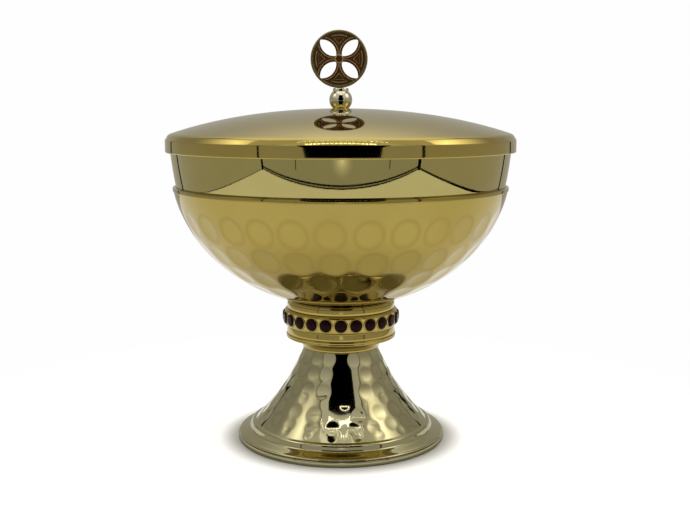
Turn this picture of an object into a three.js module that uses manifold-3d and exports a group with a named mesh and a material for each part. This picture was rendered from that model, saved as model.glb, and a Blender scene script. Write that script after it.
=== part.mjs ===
// A ciborium: a hammered foot, a node set with stones, a hammered calyx with a plain cup in it,
// and a polished domed lid with a ball knob and a pierced cross pattee medallion.
// Millimetres, +Z up. The origin is the middle of the face that the foot stands on.
// The medallion faces -Y, which is the front.

import * as THREE from 'three';
import { mergeVertices } from 'three/addons/utils/BufferGeometryUtils.js';
import Module from 'manifold-3d';

const wasm = await Module();
wasm.setup();

// Clearances
const REST_GAP = 0.3; // between faces that rest on each other but aren't both flat
const ROD_CLEARANCE = 0.4; // round the tie rod in the pieces that it only passes through
const THREAD_CLEARANCE = 0.3; // round a thread in its nut, boss or knob

// Foot: a plain ring under a hammered, flared shell with a moulded rim
const FOOT_RADIUS = 52.2;
const FOOT_RING_HEIGHT = 2.4;
const FOOT_RING_WIDTH = 5.6;
const FOOT_RING_CHAMFER = 0.4;
const FOOT_RIM_STEP = 0.7; // the shell's rim lies this far inside the ring's edge
const FOOT_SHELL_HEIGHT = 44;
const FOOT_NECK_RADIUS = 18.5; // top of the flared part
const FOOT_FLARE = 1.65; // how far its side curves in at half height
const FOOT_WALL = 1.4; // measured level, across the slanted side
const FOOT_PLATE = 1.2; // flat top that the nut clamps
const FOOT_ROWS = 6;
const FOOT_ROW_PITCH = 6.08;
const FOOT_FIRST_ROW = 3.5; // middle of the top row, below the neck
const FOOT_MARKS = 20; // hammer marks in a row
const FOOT_MARK_DEPTH = 0.5;

// Moulded rim of the foot, as distances in from its edge and up from the ring
const FOOT_MOULDING = [
  [0, 0],
  [0, 0.4],
  [0.6, 1.0],
  [1.9, 1.9],
  [3.9, 2.6],
  [5.6, 2.8],
  [5.9, 3.2],
  [9.2, 4.8],
  [10.1, 5.0],
];
const FOOT_MOULDING_INSIDE = [
  [10.5, 3.8],
  [6.9, 2.2],
  [4.5, 0],
];
const FOOT_INSIDE_STEPS = 2; // rings down the flared inside, above that moulding

// Node: a collar, two turned rings and the band of stones between them. Each list follows a
// piece's side: the first number of a pair goes in from the radius, and the second goes up from
// the bottom in a list named for the foot of the side, and down from the top in the other.
const COLLAR_HEIGHT = 5.9;
const COLLAR_RADIUS = 26.9; // its thin upper edge
const COLLAR_SIDE_TOP = [
  [4.3, 2.4],
  [1.7, 1.3],
  [0, 0.7],
  [0, 0],
];
const COLLAR_SIDE_FOOT = [
  [-0.9, 0],
  [-0.8, 1],
  [-1.7, 2.2],
]; // from the radius of the foot's neck
const NODE_RADIUS = 27.6; // widest place of both turned rings
const LOWER_RING_HEIGHT = 4.8;
const LOWER_RING_SIDE_FOOT = [
  [1, 0],
  [0.3, 0.6],
  [0, 2.1],
];
const LOWER_RING_SIDE_TOP = [
  [0.2, 1.3],
  [0.9, 0.3],
  [1.2, 0],
];
const UPPER_RING_HEIGHT = 4;
const UPPER_RING_SIDE_FOOT = [
  [1, 0],
  [0.3, 0.5],
  [0, 1.4],
];
const UPPER_RING_SIDE_TOP = [
  [0.3, 1.5],
  [1.2, 0.8],
  [2.3, 0.7],
  [2.4, 0],
];
const BAND_HEIGHT = 9.1;
const BAND_RADIUS = 27.7;
const BAND_INNER_RADIUS = 22;
const BAND_CHAMFER = 0.5;

// Stones: round, with a pointed back, a slanted crown and a flat table
const STONE_COUNT = 24;
const STONE_RADIUS = 3;
const STONE_TABLE_RADIUS = 1.8;
const STONE_BACK = 1.1;
const STONE_CROWN = 0.9;
const STONE_PROUD = 0.6; // the table stands this far out of its setting
const SETTING_WALL = 0.5;
const SETTING_HEIGHT = 1.3; // above the band
const STONE_CLEARANCE = 0.25;

// Bowl: calyx and cup are parts of flattened spheres with the same middle
const CALYX_RADIUS = 83;
const BOWL_MIDDLE_HEIGHT = 67.6; // middle of those spheres above the node
const BOWL_CUT_OFF = 2.9; // how much of the spheres' depth the flat on the node takes away
const CALYX_HEIGHT = 56.8;
const CALYX_WALL = 1;
const CALYX_BEAD_HEIGHT = 1.9;
const CALYX_BEAD_PROUD = 0.3;
const CALYX_BEAD_ROUND = 0.4;
const CALYX_MARK_DEPTH = 0.45;
const BOWL_GAP = 0.6; // between the cup and the calyx
const CUP_WALL = 1;
const CUP_FLOOR_LIFT = 2.8; // the boss's height, from the calyx's floor to the cup's
const CUP_LIP_ROUND = 0.8; // half the thickness of the rolled edge

// Rows of hammer marks on the calyx: where the row's middle and its upper edge lie, as shares of
// the calyx's height, the marks in the row, and the angle in degrees of the mark nearest the front
const CALYX_ROWS = [
  { middle: 0.167, top: 0.232, marks: 20, front: 0 },
  { middle: 0.305, top: 0.393, marks: 24, front: -7.2 },
  { middle: 0.484, top: 0.599, marks: 27, front: -2.3 },
  { middle: 0.72, top: 0.845, marks: 30, front: -3.1 },
];
const CALYX_ROWS_BOTTOM = 0.097; // lower edge of the first row
const BOWL_STEPS = 5; // from a bowl's floor to its edge
const BOWL_STEP_POWER = 1.6; // over 1, the steps are closer together near the floor
const CUP_BAND_STEPS = 2; // from the calyx's edge to the lip
const CUP_LIP_STEPS = 3;

// Lid: a shallow dome with a rounded edge and an upright skirt that goes over the cup's lip
const LID_OVERHANG = 2.2; // of the skirt's outside past the calyx's radius
const LID_WALL = 1;
const SKIRT_HEIGHT = 5;
const SKIRT_LIFT = 6.5; // of the skirt's lower edge above the middle of the bowl's spheres
const LID_RISE = 15.2; // crown above the skirt
const CROWN_FLAT_RADIUS = 7.5;

// Dome of the lid, as distances in from its edge and up from the skirt
const LIP_POINT = [1.8, 2.2]; // the cup's lip carries the lid under it
const LID_DOME = [[0, 0], [0.8, 1.3], LIP_POINT, [3, 3], [7.4, 4.9], [13.2, 6.8], [31, 10.7], [51, 13.5]];
const SKIRT_POINTS = 1; // of the lid's outline below the dome

// Knob and its fastening
const BALL_RADIUS = 5.8;
const BALL_SEAT_RADIUS = 4.1; // flat below the ball, and the neck above it
const KNOB_NECK_HEIGHT = 1.6;
const SCREW_RADIUS = 2;
const SCREW_REACH = 5; // into the knob
const SCREW_HEAD_RADIUS = 3.6;
const SCREW_HEAD_HEIGHT = 1.8;
const LID_WASHER_RADIUS = 7;
const LID_WASHER_HEIGHT = 0.8;
const BALL_STEPS = 5;

// Tie rod that clamps foot, node and bowl together
const ROD_RADIUS = 3;
const BOSS_RADIUS = 10;
const FOOT_WASHER_RADIUS = 9;
const FOOT_WASHER_HEIGHT = 1.2;
const NUT_ACROSS_FLATS = 10;
const NUT_HEIGHT = 5;
const ROD_END = 2.5; // past the nut

// Medallion, with the same relief on both faces
const MEDALLION_RADIUS = 14;
const MEDALLION_RIM_WIDTH = 1.5;
const MEDALLION_RIM_THICKNESS = 2.6;
const MEDALLION_THICKNESS = 1.6;
const RELIEF_THICKNESS = 2.2;
const RIM_GROOVE = 0.5; // flat ring between the rim and the relief
const PETAL_WIDTH = 5.7;
const PETAL_LENGTH = 11.4;
const PETAL_START = 2; // from the medallion's middle to the petal's inner tip
const RIDGE_WIDTH = 0.7;
const RIDGE_OFFSET = 0.7; // from the petal's edge to the ridge round it
const ARM_BAR_RADIUS = 11.2;
const ARM_BAR_WIDTH = 0.8;
const ARM_BAR_ANGLE = 22; // degrees to each side of the arm's middle
const ARM_TRIANGLE_BASE = 9.9; // from the medallion's middle
const ARM_TRIANGLE_TIP = 6.9;
const ARM_TRIANGLE_WIDTH = 5;
const ARM_PIT_SHARE = 0.42; // size of the sunk triangle inside the raised one
const HUB_RADIUS = 2.25;
const HUB_PIT_RADIUS = 1.55;
const HUB_PIT_DEPTH = 0.6;
const PEG_RADIUS = 1.2;
const PEG_LENGTH = 4.4; // below the medallion's edge, into the knob
const PEG_ROOT = 1; // into the medallion's rim

// Columns round the axis
const BODY_COLUMNS = 36;
const NODE_COLUMNS = 24;
const BORE_COLUMNS = 12;
const KNOB_COLUMNS = 18;
const SETTING_COLUMNS = 8;
const MEDALLION_COLUMNS = 30;
const ARC_STEPS = 6; // along each arc of the medallion's relief

// Sizes and heights that neighbouring pieces share
const FOOT_RIM = FOOT_RADIUS - FOOT_RIM_STEP;
const FOOT_CONE_RADIUS = FOOT_RIM - FOOT_MOULDING.at(-1)[0]; // bottom of the flared part
const CALYX_DEPTH = BOWL_MIDDLE_HEIGHT + BOWL_CUT_OFF;
const LID_RADIUS = CALYX_RADIUS + LID_OVERHANG;
const FOOT_TOP = FOOT_RING_HEIGHT + FOOT_SHELL_HEIGHT;
const COLLAR_TOP = FOOT_TOP + COLLAR_HEIGHT;
const BAND_BOTTOM = COLLAR_TOP + LOWER_RING_HEIGHT;
const BAND_TOP = BAND_BOTTOM + BAND_HEIGHT;
const NODE_TOP = BAND_TOP + UPPER_RING_HEIGHT;
const BOWL_MIDDLE = NODE_TOP + BOWL_MIDDLE_HEIGHT;
const CALYX_FLOOR = NODE_TOP + CALYX_WALL;
const CALYX_TOP = NODE_TOP + CALYX_HEIGHT;
const CUP_BOTTOM = CALYX_FLOOR + CUP_FLOOR_LIFT;
const SKIRT_BOTTOM = BOWL_MIDDLE + SKIRT_LIFT;
const SKIRT_TOP = SKIRT_BOTTOM + SKIRT_HEIGHT;
const CROWN = SKIRT_TOP + LID_RISE;
const FOOT_PLATE_BOTTOM = FOOT_TOP - FOOT_PLATE;
const NUT_TOP = FOOT_PLATE_BOTTOM - FOOT_WASHER_HEIGHT;
const BALL_MIDDLE = CROWN + Math.sqrt(BALL_RADIUS ** 2 - BALL_SEAT_RADIUS ** 2);
const NECK_BOTTOM = 2 * BALL_MIDDLE - CROWN;
const NECK_TOP = NECK_BOTTOM + KNOB_NECK_HEIGHT;
const MEDALLION_MIDDLE = NECK_TOP + REST_GAP + MEDALLION_RADIUS;

// Bores that the rod passes through
const ROD_HOLE = ROD_RADIUS + ROD_CLEARANCE;
const ROD_THREAD = ROD_RADIUS + THREAD_CLEARANCE;
const SCREW_THREAD = SCREW_RADIUS + THREAD_CLEARANCE;
const PEG_HOLE = PEG_RADIUS + THREAD_CLEARANCE;

const goldPlate = { color: '#c9ae62', roughness: 0.12, metalness: 1 };
const palePlate = { color: '#b9b290', roughness: 0.14, metalness: 1 };
const agedBrass = { color: '#54401f', roughness: 0.45, metalness: 1 };
const garnet = { color: '#2a0810', roughness: 0.08, metalness: 0 };
const plainBrass = { color: '#a8904e', roughness: 0.35, metalness: 1 };
const steel = { color: '#8f8f8c', roughness: 0.3, metalness: 1 };

const part = new THREE.Group();
part.name = 'ciborium';

function add(name, geometry, look) {
  const mesh = new THREE.Mesh(geometry, new THREE.MeshStandardMaterial(look));
  mesh.name = name;
  part.add(mesh);
  return mesh;
}

// A closed outline of [radius, height] points turned about the vertical axis.
// The outline runs up its outer side and down its inner side.
function turned(outline, columns) {
  const points = outline.map(([radius, height]) => new THREE.Vector2(radius, height));
  if (outline[0][0] > 0) points.push(points[0].clone());
  const geometry = new THREE.LatheGeometry(points, columns);
  geometry.rotateX(Math.PI / 2);
  return geometry;
}

// Evenly spaced points round the axis, counted anticlockwise from the angle start at the front.
function ring(radius, height, columns, start = 0) {
  const step = (2 * Math.PI) / columns;
  const points = Array.from({ length: columns }, (_, i) => [
    radius * Math.sin(start + i * step),
    -radius * Math.cos(start + i * step),
    height,
  ]);
  return { points, start, step };
}

// A ring through the middles of a row of hammer marks, where every other point is sunk square to
// the surface that radiusAt gives.
function hammeredRing(radiusAt, height, marks, front, depth) {
  const column = Math.PI / marks;
  const shift = Math.round(front / column);
  const slope = radiusAt(height + 0.5) - radiusAt(height - 0.5);
  const inward = depth / Math.hypot(1, slope);
  const row = ring(radiusAt(height), height, 2 * marks, front - shift * column);
  const sunk = ring(radiusAt(height) - inward, height + inward * slope, 2 * marks, row.start);
  row.points = row.points.map((point, i) => ((i - shift) % 2 === 0 ? sunk.points[i] : point));
  return row;
}

// One closed skin over rings that run up the outer side and down the inner side. Neighbouring
// rings can have different numbers of points: each step goes to the nearer next point.
function skin(rings) {
  const offsets = [];
  let count = 0;
  rings.forEach((each) => {
    offsets.push(count);
    count += each.points.length;
  });
  const index = [];
  rings.forEach((near, k) => {
    const next = (k + 1) % rings.length;
    const far = rings[next];
    const nearPoint = (i) => offsets[k] + (i % near.points.length);
    const farPoint = (j) => offsets[next] + (j % far.points.length);
    let i = 0;
    let j = 0;
    while (i < near.points.length || j < far.points.length) {
      const nearAngle = near.start + (i + 1) * near.step;
      const farAngle = far.start + (j + 1) * far.step;
      if (j === far.points.length || (i < near.points.length && nearAngle <= farAngle)) {
        index.push(nearPoint(i), nearPoint(i + 1), farPoint(j));
        i += 1;
      } else {
        index.push(nearPoint(i), farPoint(j + 1), farPoint(j));
        j += 1;
      }
    }
  });
  const geometry = new THREE.BufferGeometry();
  const positions = rings.flatMap((each) => each.points.flat());
  geometry.setAttribute('position', new THREE.Float32BufferAttribute(positions, 3));
  geometry.setIndex(index);
  geometry.computeVertexNormals();
  return geometry;
}

function solid(geometry) {
  const bare = geometry.clone();
  bare.deleteAttribute('normal');
  bare.deleteAttribute('uv');
  const merged = mergeVertices(bare, 1e-3);
  return new wasm.Manifold(
    new wasm.Mesh({
      numProp: 3,
      vertProperties: merged.attributes.position.array,
      triVerts: new Uint32Array(merged.index.array),
    }),
  );
}

function geometryOf(body) {
  const { vertProperties, triVerts } = body.getMesh();
  const geometry = new THREE.BufferGeometry();
  geometry.setAttribute('position', new THREE.BufferAttribute(vertProperties, 3));
  geometry.setIndex(new THREE.BufferAttribute(triVerts, 1));
  geometry.computeVertexNormals();
  return geometry;
}

// A shape made into a plate of the given thickness, half of it on each side of the drawing plane.
// Each arc of the shape gets the given number of steps.
function plate(shape, thickness, arcSteps) {
  const geometry = new THREE.ExtrudeGeometry(shape, {
    depth: thickness,
    bevelEnabled: false,
    curveSegments: arcSteps / 2,
  });
  geometry.translate(0, 0, -thickness / 2);
  return geometry;
}

function disc(radius) {
  return new THREE.Shape().absarc(0, 0, radius, 0, 2 * Math.PI, false);
}

// Outer radius of the foot's flared side at a height.
function footRadius(height) {
  const coneHeight = FOOT_SHELL_HEIGHT - FOOT_MOULDING.at(-1)[1];
  const down = (FOOT_TOP - height) / coneHeight;
  const straight = FOOT_NECK_RADIUS + (FOOT_CONE_RADIUS - FOOT_NECK_RADIUS) * down;
  return straight - 4 * FOOT_FLARE * down * (1 - down);
}

// Radius at a height of a bowl that lies inside the calyx's outer surface by the given distance.
function bowlRadius(height, inside) {
  const share = (BOWL_MIDDLE - height) / (CALYX_DEPTH - inside);
  return (CALYX_RADIUS - inside) * Math.sqrt(1 - share ** 2);
}

// Heights from a bowl's floor to its edge, closer together near the floor, where it curves most.
function bowlHeights(bottom, top) {
  return Array.from({ length: BOWL_STEPS + 1 }, (_, i) => {
    const share = (i / BOWL_STEPS) ** BOWL_STEP_POWER;
    return bottom + share * (top - bottom);
  });
}

// A side that follows one list up from the bottom and another one down from the top.
function sideOf(radius, bottom, foot, top, head) {
  return [
    ...foot.map(([across, up]) => [radius - across, bottom + up]),
    ...head.map(([across, down]) => [radius - across, top - down]),
  ];
}

function makeFoot() {
  const outer = FOOT_RADIUS;
  const inner = FOOT_RADIUS - FOOT_RING_WIDTH;
  const cut = FOOT_RING_CHAMFER;
  const ringOutline = [
    [inner, 0],
    [outer - cut, 0],
    [outer, cut],
    [outer, FOOT_RING_HEIGHT - cut],
    [outer - cut, FOOT_RING_HEIGHT],
    [inner, FOOT_RING_HEIGHT],
  ];
  add('foot_ring', turned(ringOutline, BODY_COLUMNS), palePlate);

  const rings = FOOT_MOULDING.map(([across, up]) =>
    ring(FOOT_RIM - across, FOOT_RING_HEIGHT + up, BODY_COLUMNS),
  );
  const column = Math.PI / FOOT_MARKS;
  for (let row = FOOT_ROWS - 1; row >= 0; row -= 1) {
    const middle = FOOT_TOP - FOOT_FIRST_ROW - row * FOOT_ROW_PITCH;
    const edge = middle - FOOT_ROW_PITCH / 2;
    rings.push(ring(footRadius(edge), edge, 2 * FOOT_MARKS));
    rings.push(hammeredRing(footRadius, middle, FOOT_MARKS, (row % 2) * column, FOOT_MARK_DEPTH));
  }
  rings.push(ring(FOOT_NECK_RADIUS, FOOT_TOP, 2 * FOOT_MARKS));
  rings.push(ring(ROD_HOLE, FOOT_TOP, BORE_COLUMNS));
  rings.push(ring(ROD_HOLE, FOOT_PLATE_BOTTOM, BORE_COLUMNS));
  const insideBottom = FOOT_RING_HEIGHT + FOOT_MOULDING_INSIDE[0][1];
  for (let step = 0; step < FOOT_INSIDE_STEPS; step += 1) {
    const share = step / FOOT_INSIDE_STEPS;
    const height = FOOT_PLATE_BOTTOM - share * (FOOT_PLATE_BOTTOM - insideBottom);
    rings.push(ring(footRadius(height) - FOOT_WALL, height, 2 * FOOT_MARKS));
  }
  FOOT_MOULDING_INSIDE.forEach(([across, up]) => {
    rings.push(ring(FOOT_RIM - across, FOOT_RING_HEIGHT + up, BODY_COLUMNS));
  });
  add('foot_shell', skin(rings), palePlate);
}

function makeNode() {
  const collar = [
    [ROD_HOLE, FOOT_TOP],
    ...sideOf(FOOT_NECK_RADIUS, FOOT_TOP, COLLAR_SIDE_FOOT, COLLAR_TOP, []),
    ...sideOf(COLLAR_RADIUS, FOOT_TOP, [], COLLAR_TOP, COLLAR_SIDE_TOP),
    [ROD_HOLE, COLLAR_TOP],
  ];
  add('neck_collar', turned(collar, NODE_COLUMNS), goldPlate);

  const lower = [
    [ROD_HOLE, COLLAR_TOP],
    ...sideOf(NODE_RADIUS, COLLAR_TOP, LOWER_RING_SIDE_FOOT, BAND_BOTTOM, LOWER_RING_SIDE_TOP),
    [ROD_HOLE, BAND_BOTTOM],
  ];
  add('node_lower_ring', turned(lower, NODE_COLUMNS), goldPlate);

  const upper = [
    [ROD_HOLE, BAND_TOP],
    ...sideOf(NODE_RADIUS, BAND_TOP, UPPER_RING_SIDE_FOOT, NODE_TOP, UPPER_RING_SIDE_TOP),
    [ROD_HOLE, NODE_TOP],
  ];
  add('node_upper_ring', turned(upper, NODE_COLUMNS), goldPlate);
}

// The band has a flat for each stone, with a raised, drilled setting on it.
function makeStoneBand() {
  const cornerRadius = BAND_RADIUS / Math.cos(Math.PI / STONE_COUNT);
  const outline = [
    [BAND_INNER_RADIUS, BAND_BOTTOM],
    [cornerRadius - BAND_CHAMFER, BAND_BOTTOM],
    [cornerRadius, BAND_BOTTOM + BAND_CHAMFER],
    [cornerRadius, BAND_TOP - BAND_CHAMFER],
    [cornerRadius - BAND_CHAMFER, BAND_TOP],
    [BAND_INNER_RADIUS, BAND_TOP],
  ];
  const middle = (BAND_BOTTOM + BAND_TOP) / 2;
  const settingTop = BAND_RADIUS + SETTING_HEIGHT;
  const culet = settingTop + STONE_PROUD - STONE_CROWN - STONE_BACK;
  const socketFloor = culet - REST_GAP;
  const socketRadius = STONE_RADIUS + STONE_CLEARANCE;
  const settingRoot = (BAND_INNER_RADIUS + BAND_RADIUS) / 2;
  const drill = settingTop + 1;
  const stone = turned(
    [
      [0, 0],
      [STONE_RADIUS, STONE_BACK],
      [STONE_TABLE_RADIUS, STONE_BACK + STONE_CROWN],
      [0, STONE_BACK + STONE_CROWN],
    ],
    SETTING_COLUMNS,
  );
  stone.rotateX(Math.PI / 2);

  let band = solid(turned(outline, STONE_COUNT).rotateZ(Math.PI / STONE_COUNT));
  for (let i = 0; i < STONE_COUNT; i += 1) {
    const angle = (i * 2 * Math.PI) / STONE_COUNT;
    const pin = (radius, from, to) => {
      const geometry = new THREE.CylinderGeometry(radius, radius, to - from, SETTING_COLUMNS);
      geometry.translate(0, -(from + to) / 2, 0);
      geometry.rotateZ(angle);
      geometry.translate(0, 0, middle);
      return solid(geometry);
    };
    band = band.add(pin(socketRadius + SETTING_WALL, settingRoot, settingTop));
    band = band.subtract(pin(socketRadius, socketFloor, drill));
    const name = `stone_${String(i + 1).padStart(2, '0')}`;
    const mesh = add(name, stone.clone(), garnet);
    mesh.position.set(culet * Math.sin(angle), -culet * Math.cos(angle), middle);
    mesh.rotation.z = angle;
  }
  add('stone_band', geometryOf(band), goldPlate);
}

function makeCalyx() {
  const outside = (height) => bowlRadius(height, 0);
  const rowsBottom = NODE_TOP + CALYX_ROWS_BOTTOM * CALYX_HEIGHT;
  const rings = [
    ring(ROD_HOLE, NODE_TOP, BORE_COLUMNS),
    ring(outside(NODE_TOP), NODE_TOP, BODY_COLUMNS),
    ring(outside(rowsBottom), rowsBottom, BODY_COLUMNS),
  ];
  CALYX_ROWS.forEach(({ middle, top, marks, front }) => {
    const start = THREE.MathUtils.degToRad(front);
    const rowMiddle = NODE_TOP + middle * CALYX_HEIGHT;
    const rowTop = NODE_TOP + top * CALYX_HEIGHT;
    rings.push(hammeredRing(outside, rowMiddle, marks, start, CALYX_MARK_DEPTH));
    rings.push(ring(outside(rowTop), rowTop, 2 * marks));
  });
  const beadBottom = CALYX_TOP - CALYX_BEAD_HEIGHT;
  const beadRadius = outside(CALYX_TOP - CALYX_BEAD_HEIGHT / 2) + CALYX_BEAD_PROUD;
  rings.push(ring(outside(beadBottom), beadBottom, BODY_COLUMNS));
  rings.push(ring(beadRadius, beadBottom + CALYX_BEAD_ROUND, BODY_COLUMNS));
  rings.push(ring(beadRadius, CALYX_TOP - CALYX_BEAD_ROUND, BODY_COLUMNS));
  rings.push(ring(beadRadius - CALYX_BEAD_ROUND, CALYX_TOP, BODY_COLUMNS));
  bowlHeights(CALYX_FLOOR, CALYX_TOP)
    .reverse()
    .forEach((height) => rings.push(ring(bowlRadius(height, CALYX_WALL), height, BODY_COLUMNS)));
  rings.push(ring(ROD_HOLE, CALYX_FLOOR, BORE_COLUMNS));
  add('calyx', skin(rings), goldPlate);
}

function makeCup() {
  const outside = CALYX_WALL + BOWL_GAP;
  const inside = outside + CUP_WALL;
  const floor = CUP_BOTTOM + CUP_WALL;
  const outer = bowlHeights(CUP_BOTTOM, CALYX_TOP).map((up) => [bowlRadius(up, outside), up]);
  const inner = bowlHeights(floor, CALYX_TOP).map((up) => [bowlRadius(up, inside), up]);

  const underLid = lidSide(LID_WALL + REST_GAP + CUP_LIP_ROUND);
  const [lipMiddle, lipLevel] = underLid[SKIRT_POINTS + LID_DOME.indexOf(LIP_POINT)];
  const flare = lipMiddle + CUP_LIP_ROUND - bowlRadius(lipLevel, outside);
  for (let step = 1; step <= CUP_BAND_STEPS; step += 1) {
    const share = step / CUP_BAND_STEPS;
    const up = CALYX_TOP + share * (lipLevel - CALYX_TOP) - CUP_LIP_ROUND;
    const radius = bowlRadius(up, outside) + flare * share ** 2;
    outer.push([radius, up]);
    inner.push([radius - CUP_WALL, up]);
  }
  const lip = Array.from({ length: CUP_LIP_STEPS + 1 }, (_, i) => {
    const angle = (i / CUP_LIP_STEPS) * Math.PI;
    return [lipMiddle + CUP_LIP_ROUND * Math.cos(angle), lipLevel + CUP_LIP_ROUND * Math.sin(angle)];
  });
  const outline = [[0, CUP_BOTTOM], ...outer, ...lip, ...inner.reverse(), [0, floor]];
  add('cup', turned(outline, BODY_COLUMNS), goldPlate);

  const boss = [
    [ROD_THREAD, CALYX_FLOOR],
    [BOSS_RADIUS, CALYX_FLOOR],
    [BOSS_RADIUS, CUP_BOTTOM],
    [ROD_THREAD, CUP_BOTTOM],
  ];
  add('cup_boss', turned(boss, KNOB_COLUMNS), plainBrass);
}

function makeTieRod() {
  const rodBottom = NUT_TOP - NUT_HEIGHT - ROD_END;
  const rodTop = CUP_BOTTOM - REST_GAP;
  const rod = [
    [0, rodBottom],
    [ROD_RADIUS, rodBottom],
    [ROD_RADIUS, rodTop],
    [0, rodTop],
  ];
  add('tie_rod', turned(rod, BORE_COLUMNS), steel);
  const washer = [
    [ROD_HOLE, NUT_TOP],
    [FOOT_WASHER_RADIUS, NUT_TOP],
    [FOOT_WASHER_RADIUS, FOOT_PLATE_BOTTOM],
    [ROD_HOLE, FOOT_PLATE_BOTTOM],
  ];
  add('foot_washer', turned(washer, KNOB_COLUMNS), steel);

  const middleToCorner = NUT_ACROSS_FLATS / Math.sqrt(3);
  const corners = Array.from({ length: 6 }, (_, i) => {
    const angle = (i * Math.PI) / 3;
    return new THREE.Vector2(middleToCorner * Math.cos(angle), middleToCorner * Math.sin(angle));
  });
  const hexagon = new THREE.Shape(corners);
  hexagon.holes.push(disc(ROD_THREAD));
  const nut = plate(hexagon, NUT_HEIGHT, BORE_COLUMNS);
  nut.translate(0, 0, NUT_TOP - NUT_HEIGHT / 2);
  add('foot_nut', nut, steel);
}

// The lid's outer side from the skirt's lower edge to the crown, moved inwards by the given distance.
function lidSide(inside) {
  const side = [
    new THREE.Vector2(LID_RADIUS, SKIRT_BOTTOM),
    ...LID_DOME.map(([across, up]) => new THREE.Vector2(LID_RADIUS - across, SKIRT_TOP + up)),
    new THREE.Vector2(CROWN_FLAT_RADIUS, CROWN),
    new THREE.Vector2(SCREW_THREAD, CROWN),
  ];
  return side.map((point, i) => {
    const before = side[Math.max(i - 1, 0)];
    const after = side[Math.min(i + 1, side.length - 1)];
    const along = after.clone().sub(before).normalize();
    return [point.x - inside * along.y, point.y + inside * along.x];
  });
}

function makeLid() {
  const outline = [...lidSide(0), ...lidSide(LID_WALL).reverse()];
  add('lid_shell', turned(outline, BODY_COLUMNS), goldPlate);

  const washerTop = CROWN - LID_WALL;
  const washerBottom = washerTop - LID_WASHER_HEIGHT;
  const washer = [
    [SCREW_THREAD, washerBottom],
    [LID_WASHER_RADIUS, washerBottom],
    [LID_WASHER_RADIUS, washerTop],
    [SCREW_THREAD, washerTop],
  ];
  add('lid_washer', turned(washer, KNOB_COLUMNS), steel);
  const screw = [
    [0, washerBottom - SCREW_HEAD_HEIGHT],
    [SCREW_HEAD_RADIUS, washerBottom - SCREW_HEAD_HEIGHT],
    [SCREW_HEAD_RADIUS, washerBottom],
    [SCREW_RADIUS, washerBottom],
    [SCREW_RADIUS, CROWN + SCREW_REACH],
    [0, CROWN + SCREW_REACH],
  ];
  add('lid_screw', turned(screw, BORE_COLUMNS), steel);
}

function makeKnob() {
  const screwBoreTop = CROWN + SCREW_REACH + REST_GAP;
  const sweep = Math.asin((BALL_MIDDLE - CROWN) / BALL_RADIUS);
  const ball = Array.from({ length: BALL_STEPS + 1 }, (_, i) => {
    const angle = sweep * ((2 * i) / BALL_STEPS - 1);
    return [BALL_RADIUS * Math.cos(angle), BALL_MIDDLE + BALL_RADIUS * Math.sin(angle)];
  });
  const outline = [
    [SCREW_THREAD, CROWN],
    ...ball,
    [BALL_SEAT_RADIUS, NECK_TOP],
    [PEG_HOLE, NECK_TOP],
    [PEG_HOLE, screwBoreTop],
    [SCREW_THREAD, screwBoreTop],
  ];
  add('ball_knob', turned(outline, KNOB_COLUMNS), goldPlate);
}

// Outline of the petal on the drawing's X axis, widened all round by grow: two arcs between tips.
function petal(grow) {
  const halfLength = PETAL_LENGTH / 2;
  const halfWidth = PETAL_WIDTH / 2;
  const arcRadius = (halfLength ** 2 + halfWidth ** 2) / PETAL_WIDTH;
  const arcMiddle = arcRadius - halfWidth;
  const middle = PETAL_START + halfLength;
  const tip = Math.asin(arcMiddle / (arcRadius + grow));
  const shape = new THREE.Shape();
  shape.absarc(middle, -arcMiddle, arcRadius + grow, tip, Math.PI - tip, false);
  shape.absarc(middle, arcMiddle, arcRadius + grow, Math.PI + tip, 2 * Math.PI - tip, false);
  return shape;
}

// Raised bar near the rim and raised triangle with a sunk middle, in the arm on the X axis.
function armRelief() {
  const reach = THREE.MathUtils.degToRad(ARM_BAR_ANGLE);
  const bar = new THREE.Shape();
  bar.absarc(0, 0, ARM_BAR_RADIUS + ARM_BAR_WIDTH / 2, -reach, reach, false);
  bar.absarc(0, 0, ARM_BAR_RADIUS - ARM_BAR_WIDTH / 2, reach, -reach, true);
  const corners = [
    [ARM_TRIANGLE_TIP, 0],
    [ARM_TRIANGLE_BASE, -ARM_TRIANGLE_WIDTH / 2],
    [ARM_TRIANGLE_BASE, ARM_TRIANGLE_WIDTH / 2],
  ];
  const middle = (ARM_TRIANGLE_TIP + 2 * ARM_TRIANGLE_BASE) / 3;
  const triangle = new THREE.Shape(corners.map(([x, y]) => new THREE.Vector2(x, y)));
  const pit = corners.map(([x, y]) => {
    return new THREE.Vector2(middle + (x - middle) * ARM_PIT_SHARE, y * ARM_PIT_SHARE);
  });
  triangle.holes.push(new THREE.Path(pit));
  return [bar, triangle];
}

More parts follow.
